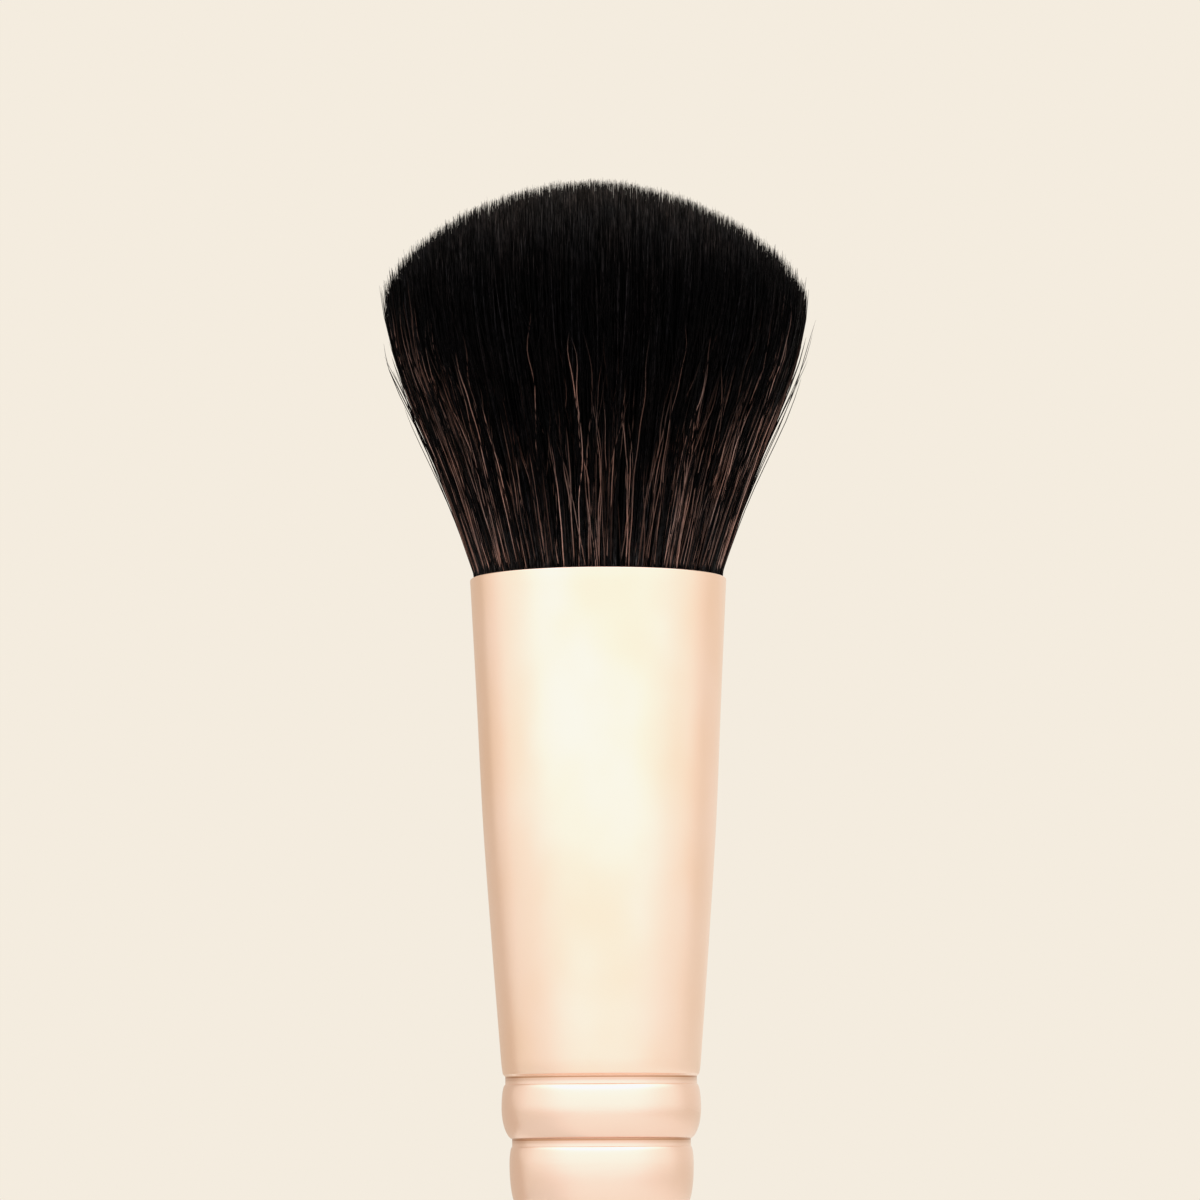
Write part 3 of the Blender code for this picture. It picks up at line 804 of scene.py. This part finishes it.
def dome_radius(heights):
    """The radius of the dome that the tips lie on."""
    rise = np.clip((heights - TUFT_HEIGHT + DOME_HEIGHT) / DOME_HEIGHT, 0, 1)
    return DOME_RADIUS * (1 - rise ** DOME_FULLNESS[0]) ** (1 / DOME_FULLNESS[1])


def tip_heights(roots):
    """Where filaments meet the dome, which stands a little higher on the left."""
    shares = np.linalg.norm(roots, axis=1)
    low, high = np.zeros_like(shares), np.full_like(shares, TUFT_HEIGHT)
    for _ in range(HALVINGS):
        middle = (low + high) / 2
        inside = shares * bundle_radius(middle) < dome_radius(middle)
        low, high = np.where(inside, middle, low), np.where(inside, high, middle)
    return low + TIP_RISE - DOME_TILT * roots[:, 0] * bundle_radius(low)


def sunflower(count):
    """Points spread evenly over a disc of radius 1."""
    number = np.arange(count)
    share = np.sqrt((number + 0.5) / count)
    angle = number * GOLDEN_ANGLE
    return np.stack((share * np.cos(angle), share * np.sin(angle)), -1)


def on_disc(points):
    """Points moved in to the disc of radius 1 where they lie outside it."""
    return points / np.maximum(1, np.linalg.norm(points, axis=-1, keepdims=True))


def filament_finish(name, streaks):
    """Fine synthetic filament. Each one's colour and painted light are kept at its points."""
    made, shader = surface(name, BLACK_COLOURS_AND_LIGHT[0], FILAMENT_ROUGHNESS, shine=FILAMENT_SHINE)
    tree = made.node_tree
    # Colour kept at the points, with painted light near the dome's top
    pigment_and_light = node(tree, "Attribute", attribute_name="pigment_and_light").outputs["Color"]
    tint = mixed(tree, spread_over(tree, noise(tree, TINT_GRAINS), 0, 1), *TINTS)
    streak = spread_over(tree, noise(tree, STREAK_GRAINS), *streaks)
    shade = node(tree, "VectorMath", {0: pigment_and_light, 1: tint}, operation="MULTIPLY").outputs[0]
    shade = node(tree, "VectorMath", {0: shade, "Scale": streak}, operation="SCALE").outputs[0]
    tree.links.new(shade, shader.inputs["Base Color"])
    return made


def wavering(draw, count, knots, size, cycles):
    """Smooth random offsets (filament, knot, xy), which grow from nothing at the root."""
    pace = draw.uniform(*cycles, (count, 1, 2))
    phase = draw.uniform(0, 2 * np.pi, (count, 1, 2))
    at = knots[None, :, None]
    wave = np.sin(2 * np.pi * pace * at + phase) - np.sin(phase)
    return size * wave * at**WAVE_POWER


def skewed(draw, limits, power, shape):
    """Random values between limits, more of them near the lower one."""
    return limits[0] + (limits[1] - limits[0]) * draw.uniform(0, 1, shape) ** power


def laid_out(places, tips, knots):
    """Middles in space (filament, knot, xyz) from places on the disc and tip heights."""
    heights = tips[:, None] * knots - ROOT_SINK * (1 - knots)
    across = places * bundle_radius(heights)[..., None]
    return np.concatenate((across, MOUTH_Z + heights[..., None]), -1)


def taper(knots):
    """How thick a filament is along it, as a share of its radius at the root."""
    least = TIP_RADIUS / FILAMENT_RADIUS
    return least + (1 - least) * (1 - knots**TAPER_POWER)


def black_pigments_and_light(middles):
    """The black filaments' colour at each of these places, lighter near the dome's top as painted
    light.
    """
    heights = middles[..., 2] - MOUTH_Z
    channels = [np.interp(heights, BLACK_HEIGHTS, channel) for channel in zip(*BLACK_COLOURS_AND_LIGHT)]
    return np.stack(channels, -1)


def add_map(mesh, filaments, knots):
    """A cell of its own for each filament, so that a bake keeps the colours along it."""
    number = np.arange(filaments)
    rows = (filaments - 1) // MAP_COLUMNS + 1
    column, row = number % MAP_COLUMNS, number // MAP_COLUMNS
    side = np.arange(FILAMENT_SIDES)
    along = CELL_MARGIN + (1 - 2 * CELL_MARGIN) * np.linspace(0, 1, knots)
    u = (column[:, None, None] + CELL_START + CELL_SIDE * side) / MAP_COLUMNS
    v = (row[:, None, None] + along[:, None]) / rows
    at_points = np.stack(np.broadcast_arrays(u, v), -1).reshape(-1, 2)
    corners = np.empty(len(mesh.loops), int)
    mesh.loops.foreach_get("vertex_index", corners)
    mesh.uv_layers.new(name="OFBake").data.foreach_set("uv", at_points[corners].ravel())


def make_filaments(name, draw, middles, thick, pigments_and_light, finish):
    """Closed tapering filaments, as one piece, from their middles, radii and colours."""
    filaments, knots, _ = middles.shape
    side = np.arange(FILAMENT_SIDES)
    turn = draw.uniform(0, 2 * np.pi, (filaments, 1)) + 2 * np.pi * side / FILAMENT_SIDES
    across = np.stack((np.cos(turn), np.sin(turn), np.zeros_like(turn)), -1)
    points = middles[:, :, None, :] + thick[:, :, None, None] * across[:, None]
    far = (side + 1) % FILAMENT_SIDES
    low = (np.arange(knots - 1) * FILAMENT_SIDES)[:, None]
    high = low + FILAMENT_SIDES
    bands = np.stack((low + side, low + far, high + far, high + side), -1).reshape(-1, 4)
    size = knots * FILAMENT_SIDES
    first = (np.arange(filaments) * size)[:, None, None]
    ends = first + np.stack((side[::-1], size - FILAMENT_SIDES + side))
    faces = (first + bands).reshape(-1, 4).tolist() + ends.reshape(-1, FILAMENT_SIDES).tolist()
    mesh = bpy.data.meshes.new(name)
    mesh.from_pydata(points.reshape(-1, 3).tolist(), [], faces)
    colours = np.ones((filaments, knots, FILAMENT_SIDES, 4))
    colours[..., :3] = pigments_and_light[:, :, None, :]
    layer = mesh.color_attributes.new("pigment_and_light", "FLOAT_COLOR", "POINT")
    layer.data.foreach_set("color", colours.ravel())
    add_map(mesh, filaments, knots)
    mesh.shade_smooth()
    mesh.materials.append(finish)
    made = bpy.data.objects.new(name, mesh)
    bpy.context.collection.objects.link(made)
    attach(made, "root")
    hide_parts("tuft")


def make_black_filaments(draw, finish):
    """The whole tuft in black: an outer layer in quarters and the core within it."""
    roots = sunflower(BLACK_COUNT)
    jitter = draw.uniform(-ROOT_JITTER, ROOT_JITTER, roots.shape) / math.sqrt(BLACK_COUNT)
    roots = on_disc(roots + jitter)
    centres = sunflower(CLUMP_COUNT)
    nearest = KDTree(CLUMP_COUNT)
    for number, centre in enumerate(centres):
        nearest.insert((*centre, 0), number)
    nearest.balance()
    clump = np.array([nearest.find((*root, 0))[1] for root in roots])
    thickness = draw.uniform(*THICKNESSES, BLACK_COUNT)
    roots, centres = roots * BLACK_EXTENT, centres * BLACK_EXTENT
    tips = tip_heights(roots) + draw.normal(0, CLUMP_TIP_SPREAD, CLUMP_COUNT)[clump]
    tips += FINE_ABOVE * (1 - thickness) - np.abs(draw.normal(0, TIP_SPREAD, BLACK_COUNT))
    tips -= draw.uniform(0, SHORT_BY, BLACK_COUNT) * (draw.uniform(0, 1, BLACK_COUNT) < SHORT_SHARE)
    pull = draw.uniform(*PULL, CLUMP_COUNT)[clump, None] * (centres[clump] - roots)
    tone = skewed(draw, BLACK_TONE, GLEAM_POWER, BLACK_COUNT)
    tone *= draw.uniform(*CLUMP_TONE, CLUMP_COUNT)[clump]
    splay = skewed(draw, SPLAY, SPLAY_POWER, BLACK_COUNT)
    outer = np.linalg.norm(roots, axis=1) > OUTER_SHARE
    turn = np.arctan2(roots[:, 1], roots[:, 0])
    quarter = ((turn + np.pi / 4) // (np.pi / 2)).astype(int) % 4
    groups = [("filaments_core", ~outer, INNER_KNOTS)]
    for number, side in enumerate(("right", "back", "left", "front")):
        groups.append((f"filaments_{side}", outer & (quarter == number), OUTER_KNOTS))
    for name, chosen, knots in groups:
        places = roots[chosen, None] + pull[chosen, None] * knots[:, None]
        places = places + wavering(draw, chosen.sum(), knots, BLACK_WAVE, BLACK_CYCLES)
        bent = (np.clip(knots - SPLAY_START, 0, 1) / (1 - SPLAY_START)) ** SPLAY_GROWTH
        bent = splay[chosen, None] * bent
        middles = laid_out(on_disc(places) * (1 + bent[..., None]), tips[chosen], knots)
        thick = FILAMENT_RADIUS * thickness[chosen, None] * taper(knots)
        pigments_and_light = tone[chosen, None, None] * black_pigments_and_light(middles)
        make_filaments(name, draw, middles, thick, pigments_and_light, finish)


def make_brown_filaments(draw, finish):
    """Brown filaments in loose locks, which cross the black ones and dive under them."""
    sizes = draw.integers(*LOCK_SIZES, BROWN_LOCKS)
    lock = np.repeat(np.arange(BROWN_LOCKS), sizes)
    count = len(lock)
    turn = draw.uniform(0, 2 * np.pi, BROWN_LOCKS)[lock] + draw.normal(0, LOCK_SPREAD, count)
    share = skewed(draw, BROWN_SHARES[::-1], SHALLOW_POWER, count)
    outward = np.stack((np.cos(turn), np.sin(turn)), -1)
    sideways = np.stack((-np.sin(turn), np.cos(turn)), -1)
    lean = draw.normal(0, LOCK_LEAN, BROWN_LOCKS)[lock] + draw.normal(0, BROWN_LEAN, count)
    knots = BROWN_KNOTS
    wave = sum(wavering(draw, count, knots, *kind) for kind in BROWN_WAVES)
    along = knots[None, :, None]
    depth = draw.uniform(0, BURIED_DEPTH, (count, 1))
    depth = depth * (draw.uniform(0, 1, (count, 1)) < BURIED_SHARE)
    depth = depth * np.clip(1 - knots / draw.uniform(*BURIED_REACHES, (count, 1)), 0, 1)
    places = (share[:, None] - depth)[..., None] * outward[:, None]
    places = places + lean[:, None, None] * sideways[:, None] * along
    places = places + wave[..., :1] * sideways[:, None]
    places = places + INWARD_WAVE * wave[..., 1:] * outward[:, None]
    tips = tip_heights(share[:, None] * outward) - np.abs(draw.normal(0, TIP_SPREAD, count))
    middles = laid_out(on_disc(places / BROWN_SHARES[1]) * BROWN_SHARES[1], tips, knots)
    thick = draw.uniform(*BROWN_RADII, (count, 1)) * taper(knots)
    fade = skewed(draw, BROWN_FADE, SHORT_POWER, (count, 1))
    fade = fade + FLANK_FADE * outward[:, :1] ** FLANK_POWER
    length = draw.uniform(*FADE_LENGTHS, (count, 1))
    left = np.clip((fade + length - knots) / length, 0, 1)[..., None]
    brown = np.array(BROWN_COLOUR) * skewed(draw, BROWN_TONE, DIM_POWER, (count, 1, 1))
    pigments_and_light = brown * left + black_pigments_and_light(middles) * (1 - left)
    make_filaments("filaments_brown", draw, middles, thick, pigments_and_light, finish)


def make_strays(draw, finish):
    """Loose wisps that leave the flanks on their way up and end short of the dome."""
    sizes = draw.integers(*STRAY_SIZES, STRAY_LOCKS)
    lock = np.repeat(np.arange(STRAY_LOCKS), sizes)
    count = len(lock)
    turn = draw.uniform(0, 2 * np.pi, STRAY_LOCKS)[lock] + draw.normal(0, STRAY_SPREAD, count)
    outward = np.stack((np.cos(turn), np.sin(turn)), -1)
    reach = draw.uniform(*STRAY_REACHES, STRAY_LOCKS)[lock] + draw.normal(0, STRAY_UNEVEN, count)
    knots = OUTER_KNOTS
    start = draw.uniform(*STRAY_STARTS, (count, 1))
    past = np.clip(knots * reach[:, None] - start, 0, 1)
    standoff = draw.uniform(*STRAY_STANDOFF, STRAY_LOCKS)[lock]
    standoff = standoff * draw.uniform(*STRAY_STANDOFF_SHARES, count)
    places = (1 + (standoff[:, None] * past)[..., None]) * outward[:, None]
    places = places + past[..., None] * wavering(draw, count, knots, STRAY_WAVE, BLACK_CYCLES)
    middles = laid_out(places, tip_heights(outward) * reach, knots)
    thick = np.broadcast_to(STRAY_RADIUS * taper(knots), middles.shape[:2])
    make_filaments("filaments_stray", draw, middles, thick, black_pigments_and_light(middles), finish)


def make_tuft():
    """Every filament above the mouth."""
    draw = np.random.default_rng(SEED)
    black = filament_finish("black_filament", STREAK_TONES)
    make_black_filaments(draw, black)
    make_brown_filaments(draw, filament_finish("brown_filament", BROWN_STREAKS))
    make_strays(draw, black)


make_camera()
make_world()
make_film()
make_screen()
make_card()
make_floor()
make_ferrule()
make_handle()
finish_inner_pieces()
make_root()
make_tuft()
